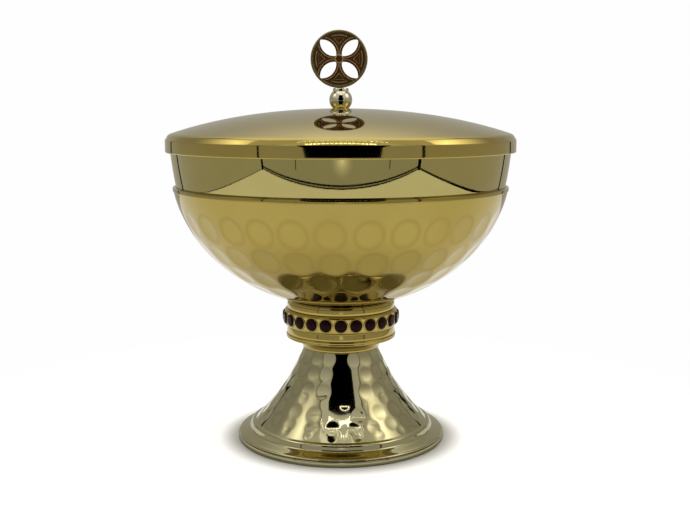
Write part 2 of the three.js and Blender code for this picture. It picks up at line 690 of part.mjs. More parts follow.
function makeMedallion() {
  const rimInside = MEDALLION_RADIUS - MEDALLION_RIM_WIDTH;
  const field = disc(MEDALLION_RADIUS - MEDALLION_RIM_WIDTH / 2);
  const rim = disc(MEDALLION_RADIUS);
  rim.holes.push(disc(rimInside));
  let body = solid(plate(field, MEDALLION_THICKNESS, MEDALLION_COLUMNS));
  let relief = solid(plate(disc(HUB_RADIUS), RELIEF_THICKNESS, BORE_COLUMNS));
  const openings = [];
  for (let quarter = 0; quarter < 4; quarter += 1) {
    const turn = (quarter * Math.PI) / 2;
    const petalTurn = turn + Math.PI / 4;
    const ridge = petal(RIDGE_OFFSET + RIDGE_WIDTH);
    ridge.holes.push(petal(RIDGE_OFFSET));
    relief = relief.add(solid(plate(ridge, RELIEF_THICKNESS, ARC_STEPS).rotateZ(petalTurn)));
    armRelief().forEach((shape) => {
      relief = relief.add(solid(plate(shape, RELIEF_THICKNESS, ARC_STEPS).rotateZ(turn)));
    });
    openings.push(solid(plate(petal(0), MEDALLION_RIM_THICKNESS, ARC_STEPS).rotateZ(petalTurn)));
  }
  const reliefArea = disc(rimInside - RIM_GROOVE);
  relief = relief.intersect(solid(plate(reliefArea, MEDALLION_RIM_THICKNESS, MEDALLION_COLUMNS)));
  body = body.add(relief);
  openings.forEach((opening) => {
    body = body.subtract(opening);
  });
  body = body.add(solid(plate(rim, MEDALLION_RIM_THICKNESS, MEDALLION_COLUMNS)));
  const pitFloor = RELIEF_THICKNESS / 2 - HUB_PIT_DEPTH;
  [-1, 1].forEach((side) => {
    const pit = plate(disc(HUB_PIT_RADIUS), MEDALLION_RIM_THICKNESS, BORE_COLUMNS);
    pit.translate(0, 0, side * (pitFloor + MEDALLION_RIM_THICKNESS / 2));
    body = body.subtract(solid(pit));
  });
  const pegHeight = PEG_LENGTH + PEG_ROOT;
  const peg = new THREE.CylinderGeometry(PEG_RADIUS, PEG_RADIUS, pegHeight, BORE_COLUMNS);
  peg.translate(0, PEG_ROOT - MEDALLION_RADIUS - pegHeight / 2, 0);
  body = body.add(solid(peg));
  const geometry = geometryOf(body);
  geometry.rotateX(Math.PI / 2);
  geometry.translate(0, 0, MEDALLION_MIDDLE);
  add('medallion', geometry, agedBrass);
}

makeFoot();
makeNode();
makeStoneBand();
makeCalyx();
makeCup();
makeTieRod();
makeLid();
makeKnob();
makeMedallion();

export default part;
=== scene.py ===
import math

import bpy
import numpy as np
from mathutils import Matrix, Vector


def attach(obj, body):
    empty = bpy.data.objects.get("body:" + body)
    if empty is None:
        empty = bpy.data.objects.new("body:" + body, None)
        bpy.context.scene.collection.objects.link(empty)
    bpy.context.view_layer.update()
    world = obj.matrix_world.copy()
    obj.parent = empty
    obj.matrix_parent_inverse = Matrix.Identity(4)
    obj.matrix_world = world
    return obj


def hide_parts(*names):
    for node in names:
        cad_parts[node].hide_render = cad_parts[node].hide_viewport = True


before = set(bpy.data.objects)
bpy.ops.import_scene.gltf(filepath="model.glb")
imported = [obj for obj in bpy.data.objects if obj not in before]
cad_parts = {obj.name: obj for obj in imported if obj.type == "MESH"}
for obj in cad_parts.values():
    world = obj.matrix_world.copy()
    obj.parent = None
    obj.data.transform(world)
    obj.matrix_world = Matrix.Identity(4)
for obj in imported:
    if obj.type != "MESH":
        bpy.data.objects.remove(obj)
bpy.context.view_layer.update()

MM = 0.001

# Heights above the table in mm, as in the model
FOOT_RING_TOP = 2.4
FOOT_TOP = 46.4
COLLAR_TOP = 52.3
BAND_BOTTOM = 57.1
BAND_TOP = 66.2
NODE_TOP = 70.2
CUP_BOTTOM = 74
CALYX_TOP = 127
BOWL_MIDDLE = 137.8
CROWN = 164.5
BALL_MIDDLE = 168.6
NECK_TOP = 174.3
MEDALLION_MIDDLE = 188.6

# Radii and thicknesses in mm
FOOT_RADIUS = 52.2
ROD_HOLE = 3.4
BAND_RADIUS = 27.8
STONE_RADIUS = 3
STONE_COUNT = 24
CALYX_RADIUS = 83
CALYX_DEPTH = 70.5
LID_RADIUS = 85.2
WALL = 1
MEDALLION_RADIUS = 14


# Finishes

def linear(hex_colour):
    """An sRGB hex colour as the linear RGBA that Blender's sockets take."""
    parts = [int(hex_colour[i:i + 2], 16) / 255 for i in (1, 3, 5)]
    return (*[c / 12.92 if c <= 0.04045 else ((c + 0.055) / 1.055) ** 2.4 for c in parts], 1)


def add_node(tree, kind, inputs=None, **settings):
    """Adds a node with its settings. An input is linked when it is given a socket, and set otherwise."""
    made = tree.nodes.new(kind)
    for name, value in settings.items():
        setattr(made, name, value)
    for name, value in (inputs or {}).items():
        if isinstance(value, bpy.types.NodeSocket):
            tree.links.new(value, made.inputs[name])
        else:
            made.inputs[name].default_value = value
    return made


def new_material(name):
    material = bpy.data.materials.new(name)
    material.use_nodes = True
    material.node_tree.nodes.clear()
    return material, material.node_tree


def finish_material(tree, shader):
    add_node(tree, "ShaderNodeOutputMaterial", {"Surface": shader.outputs[0]})


def plated_metal(name, bright, worn, roughness, hairlines, wave_depth, rim_shade_tone=None):
    """Brass that was polished and electroplated. The eye sees a mirror whose colour drifts a little
    from place to place, with a faint haze from wiping and hairlines round the axis. wave_depth, in
    mm, bends the reflections gently, as on hand-polished sheet. Where a piece is hammered, the last
    colour is painted shade on the rims of its marks, darker where reflections darken at the creases."""
    material, tree = new_material(name)
    place = add_node(tree, "ShaderNodeTexCoord").outputs["Object"]
    drift = add_node(tree, "ShaderNodeTexNoise", {"Vector": place, "Scale": 1 / (25 * MM), "Detail": 3})
    drift_share = add_node(tree, "ShaderNodeMapRange", {
        "Value": drift.outputs["Fac"], "From Min": 0.4, "From Max": 0.7, "To Max": 0.7})
    colour = add_node(tree, "ShaderNodeMix", data_type="RGBA")
    colour.inputs["A"].default_value = linear(bright)
    colour.inputs["B"].default_value = linear(worn)
    tree.links.new(drift_share.outputs[0], colour.inputs["Factor"])
    # Painted shade: the rims of the hammer marks are darkened toward the last colour.
    if rim_shade_tone:
        edge = add_node(tree, "ShaderNodeAttribute", attribute_name="mark_rim_shade")
        toned = add_node(tree, "ShaderNodeMix", data_type="RGBA")
        tree.links.new(colour.outputs[2], toned.inputs["A"])
        toned.inputs["B"].default_value = linear(rim_shade_tone)
        tree.links.new(edge.outputs["Fac"], toned.inputs["Factor"])
        colour = toned
    haze = add_node(tree, "ShaderNodeTexNoise", {"Vector": place, "Scale": 1 / (9 * MM), "Detail": 6})
    gloss = add_node(tree, "ShaderNodeMapRange", {
        "Value": haze.outputs["Fac"], "From Min": 0.35, "From Max": 0.75,
        "To Min": roughness, "To Max": roughness * 1.9})

    # Hairlines 0.25 mm apart, far longer round the piece than they are wide
    stretched = add_node(tree, "ShaderNodeMapping", {"Vector": place, "Scale": (1, 1, 14)})
    hairs = add_node(tree, "ShaderNodeTexNoise", {
        "Vector": stretched.outputs[0], "Scale": 1 / (3.5 * MM), "Detail": 2})
    hair_bump = add_node(tree, "ShaderNodeBump", {
        "Height": hairs.outputs["Fac"], "Distance": 0.004 * MM, "Strength": hairlines})
    waves = add_node(tree, "ShaderNodeTexNoise", {"Vector": place, "Scale": 1 / (12 * MM), "Detail": 1})
    wave_bump = add_node(tree, "ShaderNodeBump", {
        "Height": waves.outputs["Fac"], "Distance": wave_depth * MM, "Normal": hair_bump.outputs[0]})
    shader = add_node(tree, "ShaderNodeBsdfPrincipled", {
        "Base Color": colour.outputs[2], "Metallic": 1, "Roughness": gloss.outputs[0],
        "Normal": wave_bump.outputs[0]})
    finish_material(tree, shader)
    return material


def aged_brass():
    """Cast brass, blackened and then rubbed. The hollows stay dark brown and soft, and the raised
    lines wear to a dull warm sheen, more at the rim than in the middle."""
    material, tree = new_material("aged_cast_brass")
    place = add_node(tree, "ShaderNodeTexCoord").outputs["Object"]
    grain = add_node(tree, "ShaderNodeTexNoise", {"Vector": place, "Scale": 1 / (0.6 * MM), "Detail": 5})
    depth = add_node(tree, "ShaderNodeSeparateXYZ", {"Vector": place})
    from_middle = add_node(tree, "ShaderNodeMath", {0: depth.outputs["Y"]}, operation="ABSOLUTE")
    raised = add_node(tree, "ShaderNodeMapRange", {
        "Value": from_middle.outputs[0], "From Min": 0.82 * MM, "From Max": 1.2 * MM})
    rubbed = add_node(tree, "ShaderNodeMath", {0: raised.outputs[0], 1: grain.outputs["Fac"]},
                      operation="MULTIPLY")
    share = add_node(tree, "ShaderNodeMapRange", {"Value": rubbed.outputs[0], "From Max": 0.5})
    colour = add_node(tree, "ShaderNodeMix", data_type="RGBA")
    colour.inputs["A"].default_value = linear("#6e4e32")
    colour.inputs["B"].default_value = linear("#c8a775")
    tree.links.new(share.outputs[0], colour.inputs["Factor"])

    # The rim is handled more, and is greener and evener than the arms
    centred = add_node(tree, "ShaderNodeMapping", {
        "Vector": place, "Location": (0.8 * MM, 0, -(MEDALLION_MIDDLE - 0.4) * MM), "Scale": (1, 0, 1)})
    reach = add_node(tree, "ShaderNodeVectorMath", {0: centred.outputs[0]}, operation="LENGTH")
    at_rim = add_node(tree, "ShaderNodeMapRange", {
        "Value": reach.outputs["Value"], "From Min": 12.2 * MM, "From Max": 12.7 * MM})
    toned = add_node(tree, "ShaderNodeMix", data_type="RGBA")
    tree.links.new(colour.outputs[2], toned.inputs["A"])
    toned.inputs["B"].default_value = linear("#8a7f56")
    tree.links.new(at_rim.outputs[0], toned.inputs["Factor"])
    dull = add_node(tree, "ShaderNodeMapRange", {
        "Value": grain.outputs["Fac"], "To Min": 0.32, "To Max": 0.6})
    pits = add_node(tree, "ShaderNodeBump", {"Height": grain.outputs["Fac"], "Distance": 0.02 * MM})
    shader = add_node(tree, "ShaderNodeBsdfPrincipled", {
        "Base Color": toned.outputs[2], "Metallic": 1, "Roughness": dull.outputs[0],
        "Normal": pits.outputs[0]})
    finish_material(tree, shader)
    return material


def garnet_glass():
    """Dark red glass, cut and polished on a foiled back. It looks nearly black, with a wine red
    gleam that differs a little from stone to stone, and sharp small highlights."""
    material, tree = new_material("garnet_glass")
    place = add_node(tree, "ShaderNodeTexCoord").outputs["Object"]
    tint = add_node(tree, "ShaderNodeTexNoise", {"Vector": place, "Scale": 1 / (6 * MM), "Detail": 2})
    colour = add_node(tree, "ShaderNodeMix", data_type="RGBA")
    colour.inputs["A"].default_value = linear("#220a08")
    colour.inputs["B"].default_value = linear("#3a1012")
    tree.links.new(tint.outputs["Fac"], colour.inputs["Factor"])
    wear = add_node(tree, "ShaderNodeMapRange", {
        "Value": tint.outputs["Fac"], "To Min": 0.04, "To Max": 0.14})
    shader = add_node(tree, "ShaderNodeBsdfPrincipled", {
        "Base Color": colour.outputs[2], "Roughness": wear.outputs[0], "Specular IOR Level": 0.07})
    finish_material(tree, shader)
    return material


def turned_metal(name, light, dark, roughness, line_spacing):
    """Plain turned or plated bar. Fine tool marks round the axis, line_spacing mm apart, spread
    the highlights, and handling leaves duller patches."""
    material, tree = new_material(name)
    place = add_node(tree, "ShaderNodeTexCoord").outputs["Object"]
    patches = add_node(tree, "ShaderNodeTexNoise", {"Vector": place, "Scale": 1 / (4 * MM), "Detail": 4})
    colour = add_node(tree, "ShaderNodeMix", data_type="RGBA")
    colour.inputs["A"].default_value = linear(light)
    colour.inputs["B"].default_value = linear(dark)
    tree.links.new(patches.outputs["Fac"], colour.inputs["Factor"])
    gloss = add_node(tree, "ShaderNodeMapRange", {
        "Value": patches.outputs["Fac"], "To Min": roughness, "To Max": roughness * 1.7})
    tool_marks = add_node(tree, "ShaderNodeTexWave", {
        "Vector": place, "Scale": 1 / (line_spacing * MM * 20), "Distortion": 0.6},
        wave_type="BANDS", bands_direction="Z")
    grooves = add_node(tree, "ShaderNodeBump", {
        "Height": tool_marks.outputs["Fac"], "Distance": 0.01 * MM, "Strength": 0.5})
    shader = add_node(tree, "ShaderNodeBsdfPrincipled", {
        "Base Color": colour.outputs[2], "Metallic": 1, "Roughness": gloss.outputs[0],
        "Normal": grooves.outputs[0]})
    finish_material(tree, shader)
    return material


polished_gold = plated_metal("polished_gold_plate", "#b09d58", "#a99550", 0.035, 0.5, 0.02)
bright_gold = plated_metal("polished_pale_gold_plate", "#b0a367", "#a99c60", 0.02, 0.15, 0.008)
# The last colour of each hammered finish is painted shade for the rims of its marks.
hammered_gold = plated_metal("hammered_gold_plate", "#a9964f", "#a38f48", 0.05, 0.2, 0.02, "#a08b47")
pale_plate = plated_metal("hammered_pale_plate", "#b3ab85", "#a8a17b", 0.04, 0.2, 0.015, "#a59e79")
knob_plate = plated_metal("polished_pale_knob_plate", "#cdc6aa", "#c5bd9e", 0.03, 0.3, 0.01)
cast_brass = aged_brass()
garnet = garnet_glass()
plain_brass = turned_metal("turned_brass", "#a8904e", "#8f7840", 0.28, 0.3)
zinc_steel = turned_metal("zinc_plated_steel", "#a3a3a0", "#84847f", 0.24, 0.25)


# Modelling helpers

def start(name):
    """Takes the object that was just added as a new piece."""
    piece = bpy.context.object
    piece.name = piece.data.name = name
    return piece


def spun(name, outline, columns, rounding=0.0):
    """Spins a closed outline of (radius, height) points in mm about the upright axis. Its corners
    are rounded first where a rounding in mm is given."""
    bpy.ops.object.select_all(action="DESELECT")
    bpy.ops.mesh.primitive_circle_add(vertices=len(outline), radius=MM)
    piece = start(name)
    for corner, (radius, height) in zip(piece.data.vertices, outline):
        corner.co = (radius * MM, 0, height * MM)
    if rounding:
        bpy.ops.object.mode_set(mode="EDIT")
        bpy.ops.mesh.select_all(action="SELECT")
        bpy.ops.mesh.bevel(offset=rounding * MM, segments=4, affect="VERTICES")
        bpy.ops.object.mode_set(mode="OBJECT")
    lathe = piece.modifiers.new("lathe", "SCREW")
    lathe.steps = lathe.render_steps = columns
    lathe.use_merge_vertices = True
    lathe.merge_threshold = 0.001 * MM
    bpy.ops.object.modifier_apply(modifier=lathe.name)
    bpy.ops.object.mode_set(mode="EDIT")
    bpy.ops.mesh.select_all(action="SELECT")
    bpy.ops.mesh.remove_doubles(threshold=0.001 * MM)
    bpy.ops.mesh.delete_loose()
    bpy.ops.mesh.select_all(action="SELECT")
    bpy.ops.mesh.normals_make_consistent(inside=False)
    bpy.ops.object.mode_set(mode="OBJECT")
    smooth(piece)
    return piece


def smooth(piece, angle=35):
    bpy.ops.object.select_all(action="DESELECT")
    piece.select_set(True)
    bpy.context.view_layer.objects.active = piece
    bpy.ops.object.shade_smooth_by_angle(angle=math.radians(angle))


def settle(piece):
    """Applies the piece's place and turn to its mesh."""
    bpy.ops.object.select_all(action="DESELECT")
    piece.select_set(True)
    bpy.context.view_layer.objects.active = piece
    bpy.ops.object.transform_apply(location=True, rotation=True, scale=True)


def joined(name, pieces):
    bpy.ops.object.select_all(action="DESELECT")
    for piece in pieces:
        piece.select_set(True)
    bpy.context.view_layer.objects.active = pieces[0]
    bpy.ops.object.join()
    return start(name)


def cut(piece, cutter, operation="DIFFERENCE"):
    """Cuts the piece with another solid, which is then removed."""
    bpy.ops.object.select_all(action="DESELECT")
    piece.select_set(True)
    bpy.context.view_layer.objects.active = piece
    knife = piece.modifiers.new("cut", "BOOLEAN")
    knife.object = cutter
    knife.operation = operation
    knife.solver = "EXACT"
    bpy.ops.object.modifier_apply(modifier=knife.name)
    bpy.data.objects.remove(cutter)
    return piece


def copied(piece, name):
    twin = piece.copy()
    twin.data = piece.data.copy()
    twin.name = twin.data.name = name
    bpy.context.scene.collection.objects.link(twin)
    return twin


def dress(piece, material, body, slot, *nodes):
    """Gives the piece its finish, and lets it stand for its nodes and move with its body."""
    piece.data.materials.clear()
    piece.data.materials.append(material)
    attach(piece, body)
    if nodes:
        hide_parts(*nodes)
    return piece


def arc(middle, radius, first, last, steps, tall=None):
    """Points on an arc, or part of an upright ellipse where its height is given too."""
    return [(middle[0] + radius * math.cos(math.radians(first + (last - first) * i / steps)),
             middle[1] + (tall or radius) * math.sin(math.radians(first + (last - first) * i / steps)))
            for i in range(steps + 1)]


def even(first, last, step):
    """Numbers from first to last, about a step apart."""
    count = max(1, round(abs(last - first) / step))
    return [first + (last - first) * i / count for i in range(count + 1)]


def inset(line, distance):
    """The line moved sideways by a wall's thickness, to its left as it is drawn."""
    moved = []
    for before, here, after in zip(line[:1] + line[:-1], line, line[1:] + line[-1:]):
        along = (Vector(after) - Vector(before)).normalized()
        moved.append((here[0] - distance * along[1], here[1] + distance * along[0]))
    return moved


def press_marks(piece, marks, rim):
    """Presses round hammer marks into a piece's outer side. A mark is (place, direction out, radius
    across, radius up, depth) in mm, and rim softens its edge. How near each point is to a mark's rim
    is kept for the finish, which paints shade on the rims."""
    coordinates = np.zeros(len(piece.data.vertices) * 3)
    piece.data.vertices.foreach_get("co", coordinates)
    points = coordinates.reshape(-1, 3) / MM
    rim_shade_weight = np.zeros(len(points))
    for place, out, across, up, depth in marks:
        side = np.cross((0, 0, 1), out)
        side /= np.linalg.norm(side)
        away = points - place
        share = 1 - (away @ side / across) ** 2 - (away @ np.cross(out, side) / up) ** 2
        near = (share > -1) & (away @ out > -0.9) & (away @ out < 2)
        inward = 0.5 * depth * (share[near] + np.sqrt(share[near] ** 2 + rim ** 2) + 1 - math.sqrt(1 + rim ** 2))
        points[near] -= np.outer(np.maximum(inward, 0), out)
        # How strongly the painted shade darkens each point, most at a mark's rim.
        rim_shade_weight[near] = np.maximum(rim_shade_weight[near], np.exp(-(share[near] / 0.3) ** 2))
    piece.data.vertices.foreach_set("co", (points * MM).ravel())
    piece.data.attributes.new("mark_rim_shade", "FLOAT", "POINT").data.foreach_set("value", rim_shade_weight)
    piece.data.update()


def mark(turn, height, radius, slope, across, up, depth, tilt=(0, 0, 0)):
    """A mark at an angle round the axis, where the side leans outward by slope for each mm down."""
    place = np.array([radius * math.sin(turn), -radius * math.cos(turn), height])
    out = np.array([math.sin(turn), -math.cos(turn), slope])
    out = out / np.linalg.norm(out) + tilt
    return place, out / np.linalg.norm(out), across, up, depth


# Foot

def cone_radius(height):
    """The side of the foot, with the wider flare at its bottom."""
    down = (FOOT_TOP - height) / 39
    flare = 3.2 * (max(30 - height, 0) / 23) ** 1.6
    return 18.5 + 16.24 * down + 6.6 * down ** 2 + flare


FOOT_ROWS = [  # height and mark radius in mm, angles of the marks in front, and the angle between the others
    (42.9, 3.5, (-17.1, 18.6), 19),
    (36.2, 3.4, (-19.6, 32.0), 17.5),
    (28.6, 3.7, (-18.6, 26.5), 17),
    (24.6, 2.9, (-38.0, 3.2, 44.0), 24),
    (19.0, 3.8, (-23.0, 14.2, 32.8), 18),
    (13.9, 3.5, (-40.3, -21.1, -6.2, 10.0, 24.0, 39.3), 16),
    (11.0, 2.4, (-6.2, 10.9), 17),
]


def foot_marks():
    """Round dents of a ball hammer, set by eye: they wander a little and differ in size."""
    wander = np.random.default_rng(7)
    marks = []
    for height, size, front, apart in FOOT_ROWS:
        slope = cone_radius(height - 0.5) - cone_radius(height + 0.5)
        rest = 360 - (front[-1] - front[0])
        count = round(rest / apart)
        turns = [*front, *[front[-1] + rest * i / count + wander.uniform(-1.5, 1.5) for i in range(1, count)]]
        for turn in turns:
            level = height + wander.uniform(-0.4, 0.4) * (height > 11)
            radius = size * wander.uniform(0.95, 1.05)
            marks.append(mark(math.radians(turn), level, cone_radius(level), slope, radius, radius * 1.08,
                              0.068 * radius, wander.uniform(-0.02, 0.02, 3)))
    return marks


def make_foot():
    ring = spun("foot_ring_turned", [
        (46.6, 0), (51.5, 0), (51.9, 0.15), (52.12, 0.4), (52.2, 0.75), (52.2, 2.55), (52.1, 2.7), (51.8, 2.78),
        (51.5, 2.7), (51.3, FOOT_RING_TOP), (46.6, FOOT_RING_TOP)], 256)
    dress(ring, pale_plate, "cup_and_foot", "pale_plate", "foot_ring")

    roll = [(50.2, 2.4), (51.2, 2.4), (51.3, 2.7), (51.6, 2.85), (51.75, 3.05), (51.7, 3.3), (51.5, 3.55),
            (51.0, 3.85), (50.5, 4.05)]
    flange = [(49.5, 4.35), (48.3, 4.7), (47.3, 5.0), (46.7, 5.2), (46.2, 5.45), (45.85, 5.8), (45.7, 6.2),
              (45.5, 6.9), (45.35, 7.45), (45.25, 7.8), (45, 8.15), (44.75, 8.4), (44.5, 8.6)]
    cone = [(cone_radius(level), level) for level in even(8.85, 46.1, 0.36)]
    neck = [(18.35, 46.35), (18.1, FOOT_TOP), (ROD_HOLE, FOOT_TOP), (ROD_HOLE, 45.2), (17, 45.2)]
    inside = [(cone_radius(level) - 1.4, level) for level in even(44.2, 8.8, 3)]
    under = [(43.2, 7.8), (43.9, 6.6), (44.8, 5.2), (46.9, 3.8), (50, 3.2)]
    shell = spun("foot_shell_hammered", [*roll, *flange, *cone, *neck, *inside, *under], 480)
    press_marks(shell, foot_marks(), 0.3)
    smooth(shell, 40)
    dress(shell, pale_plate, "cup_and_foot", "pale_plate", "foot_shell")


# Node

def make_node():
    collar = [(ROD_HOLE, FOOT_TOP), (19.4, FOOT_TOP), (19.3, 46.9), (19.6, 47.6), (20.5, 48.5), (22.4, 49.5),
              (24.6, 50.45), (25.8, 50.95), (26.6, 51.2), (27.15, 51.4), (27.4, 51.7), (27.45, 52), (27.3, COLLAR_TOP),
              (ROD_HOLE, COLLAR_TOP)]
    piece = spun("neck_collar_turned", collar, 192)
    dress(piece, polished_gold, "cup_and_foot", "gold_plate", "neck_collar")

    lower = [(ROD_HOLE, COLLAR_TOP), (27.2, COLLAR_TOP), *arc((26.5, 52.75), 1, -20, 62, 12), (26.85, 53.75),
             (27.1, 53.85), (27.18, 54.0), (27.14, 54.6), (27.04, 55.5), (26.93, 56.3), (26.87, 56.7), (26.5, 56.78),
             (26.5, BAND_BOTTOM), (ROD_HOLE, BAND_BOTTOM)]
    piece = spun("node_lower_ring_turned", lower, 192)
    dress(piece, polished_gold, "cup_and_foot", "gold_plate", "node_lower_ring")

    upper = [(ROD_HOLE, BAND_TOP), (26.5, BAND_TOP), (26.5, 66.45), (26.7, 66.5), (26.98, 66.6), (27.05, 66.85),
             (27.02, 67.4), (26.93, 68.1), (26.83, 68.75), (26.5, 68.83), (26.2, 68.88), (26.15, 69.2), (26.1, 69.38),
             (25.75, 69.45), (25.7, 69.7), (25.6, 69.85), (25.4, 69.97), (25.2, 70.05), (25.15, NODE_TOP),
             (ROD_HOLE, NODE_TOP)]
    piece = spun("node_upper_ring_turned", upper, 192)
    dress(piece, polished_gold, "cup_and_foot", "gold_plate", "node_upper_ring")


def make_stone_band():
    middle = (BAND_BOTTOM + BAND_TOP) / 2
    band = spun("stone_band_set", [
        (22, BAND_BOTTOM), (26.9, BAND_BOTTOM), (27.3, 57.25), (27.85, 57.7), (28.1, 58.4), (28.1, 64.5),
        *arc((26.5, 64.6), 1.6, 4, 86, 12), (26.4, BAND_TOP), (22, BAND_TOP)], 192)
    setting = spun("setting", [
        (3, 26.8), (3.6, 26.8), (3.6, 27.9), (3.55, 28.1), (3.42, 28.28), (3.25, 28.36), (3.1, 28.34), (3, 28.2)], 40)
    stone = spun("stone", [(0, 27), (3, 28), (3.08, 28.4), (2.8, 28.85), (2.1, 29.2), (0, 29.36)], 12)
    bpy.context.view_layer.objects.active = stone
    bpy.ops.object.shade_flat()
    ring = [band]
    for i in range(STONE_COUNT):
        turn = Matrix.Rotation(math.tau * i / STONE_COUNT, 4, "Z") @ Matrix.Rotation(math.pi / 2, 4, "X")
        for source in (setting, stone):
            twin = copied(source, f"{source.name}_{i + 1:02d}_set")
            twin.matrix_world = Matrix.Translation((0, 0, middle * MM)) @ turn
            settle(twin)
            if source is setting:
                ring.append(twin)
            else:
                dress(twin, garnet, "cup_and_foot", "garnet_glass", f"stone_{i + 1:02d}")
    bpy.data.objects.remove(setting)
    bpy.data.objects.remove(stone)
    band = joined("stone_band_set", ring)
    dress(band, polished_gold, "cup_and_foot", "gold_plate", "stone_band")


# Bowl

def bowl_radius(height, inside=0.0):
    share = (BOWL_MIDDLE - height) / (CALYX_DEPTH - inside)
    return (CALYX_RADIUS - inside) * math.sqrt(1 - share ** 2)


def bowl_line(bottom, top, inside, step):
    """Points up a bowl's side, evenly spaced along it."""
    depth = CALYX_DEPTH - inside
    first = math.asin((BOWL_MIDDLE - bottom) / depth)
    last = math.asin((BOWL_MIDDLE - top) / depth)
    return [(bowl_radius(height, inside), height)
            for height in (BOWL_MIDDLE - depth * math.sin(turn) for turn in even(first, last, step / 78))]


CALYX_ROWS = [  # height, number of marks, angle of the mark nearest the front, depth, in mm and degrees
    (79.2, 20, 0, 0.42),
    (87.3, 24, -7.2, 0.5),
    (97.3, 27, -2.1, 0.48),
    (110.9, 30, -3.1, 0.42),
]


def calyx_marks():
    """Broad shallow faces of a planishing hammer."""
    wander = np.random.default_rng(3)
    marks = []
    for height, count, front, depth in CALYX_ROWS:
        slope = bowl_radius(height + 0.5) - bowl_radius(height - 0.5)
        for i in range(count):
            turn = math.radians(front + 360 * i / count + wander.uniform(-0.4, 0.4))
            level = height + wander.uniform(-0.3, 0.3)
            size = wander.uniform(0.97, 1.03)
            marks.append(mark(turn, level, bowl_radius(level), -slope, 6.5 * size, 7.1 * size,
                              depth * wander.uniform(0.9, 1.1), wander.uniform(-0.012, 0.012, 3)))
    return marks


def make_calyx():
    side = bowl_line(NODE_TOP + 0.15, 124.95, 0, 0.75)
    edge = bowl_radius(126) + 0.22
    bead = [(edge - 0.35, 125), (edge - 0.28, 125.2), (edge - 0.05, 125.3), (edge, 125.5), (edge, 126.6),
            (edge - 0.05, 126.8), (edge - 0.25, 126.95), (edge - 0.6, CALYX_TOP), (80.48, CALYX_TOP)]
    inner = bowl_line(71.3, 126.5, 1, 6)[::-1]
    outline = [(ROD_HOLE, NODE_TOP), (side[0][0] - 0.4, NODE_TOP), *side, *bead, *inner, (ROD_HOLE, 71.2)]
    calyx = spun("calyx_hammered", outline, 600)
    press_marks(calyx, calyx_marks(), 0.22)
    smooth(calyx, 50)
    dress(calyx, hammered_gold, "cup_and_foot", "hammered_gold", "calyx")


def band_radius(height):
    """The plain rim of the cup, above the calyx, which opens a little upwards."""
    up = height - CALYX_TOP
    return 80.4 + 0.19 * up - 0.0028 * up ** 2


def make_cup():
    outer = bowl_line(CUP_BOTTOM, CALYX_TOP, 1.6, 4)
    rim = [(band_radius(level), level) for level in even(CALYX_TOP + 0.3, 149.4, 0.7)]
    lip = arc((82.45, 149.75), 0.8, 10, 190, 12)
    inside = [(band_radius(level) - WALL, level) for level in even(149, CALYX_TOP, 1.1)]
    floor = bowl_line(CUP_BOTTOM + WALL, CALYX_TOP - 1, 2.6, 1.5)[::-1]
    cup = spun("cup_spun", [(0, CUP_BOTTOM), *outer, *rim, *lip, *inside, *floor, (0, CUP_BOTTOM + WALL)], 256)
    dress(cup, bright_gold, "cup_and_foot", "gold_plate", "cup")


# Lid

def dome_height(radius):
    return CROWN - 0.00147 * radius ** 2 - 1.9 * (radius / 82.2) ** 3.9


def make_lid():
    shoulder = [(LID_RADIUS, 149.2)]
    for bend, first, last in ((0.88, 0, 29.2), (34, 29.2, 30.8), (25, 30.8, 33.5), (2.7, 33.5, 62)):
        radius, height = shoulder[-1]
        middle = (radius - bend * math.cos(math.radians(first)), height - bend * math.sin(math.radians(first)))
        shoulder += arc(middle, bend, first, last, 5)[1:]
    dome = [(radius, dome_height(radius)) for radius in even(82.6, 2.3, 0.9)]
    roll = [(84.75, 143.85), (84.95, 143.82), (85.12, 143.95), (LID_RADIUS, 144.2)]
    side = [(LID_RADIUS, level) for level in even(144.6, 148.8, 0.95)]
    outer = [*roll, *side, *shoulder, *dome]
    shell = spun("lid_spun", [*outer, *inset(outer, WALL)[::-1]], 256)
    dress(shell, polished_gold, "lid", "gold_plate", "lid_shell")

    washer = spun("lid_washer_flat", [(2.3, 162.7), (7, 162.7), (7, 163.5), (2.3, 163.5)], 64, 0.15)
    dress(washer, zinc_steel, "lid", "zinc_steel", "lid_washer")
    screw = spun("lid_screw_turned", [
        (0, 160.9), (2.6, 160.95), (3.3, 161.3), (3.6, 162.0), (3.6, 162.7), (2, 162.7),
        *[(radius, level) for i in range(9) for radius, level in
          ((2, 163.6 + 0.62 * i), (1.7, 163.91 + 0.62 * i))], (1.6, 169.5), (0, 169.5)], 48)
    bpy.ops.object.select_all(action="DESELECT")
    bpy.ops.mesh.primitive_cube_add(size=1, location=(0, 0, 161.1 * MM), scale=(8 * MM, 0.9 * MM, 1.2 * MM))
    cut(screw, start("slot"))
    dress(screw, zinc_steel, "lid", "zinc_steel", "lid_screw")


def make_knob():
    knob = spun("ball_knob_turned", [
        (2.3, CROWN), (3.95, CROWN), *arc((0, BALL_MIDDLE), 5.6, -44, 46, 40), (3.82, 172.85), (3.85, 173.1), (3.8, 173.9),
        (3.6, 174.2), (3.2, NECK_TOP), (1.5, NECK_TOP), (1.5, 169.8), (2.3, 169.8)], 128)
    dress(knob, knob_plate, "lid", "gold_plate", "ball_knob")


# Rod and nut inside the foot

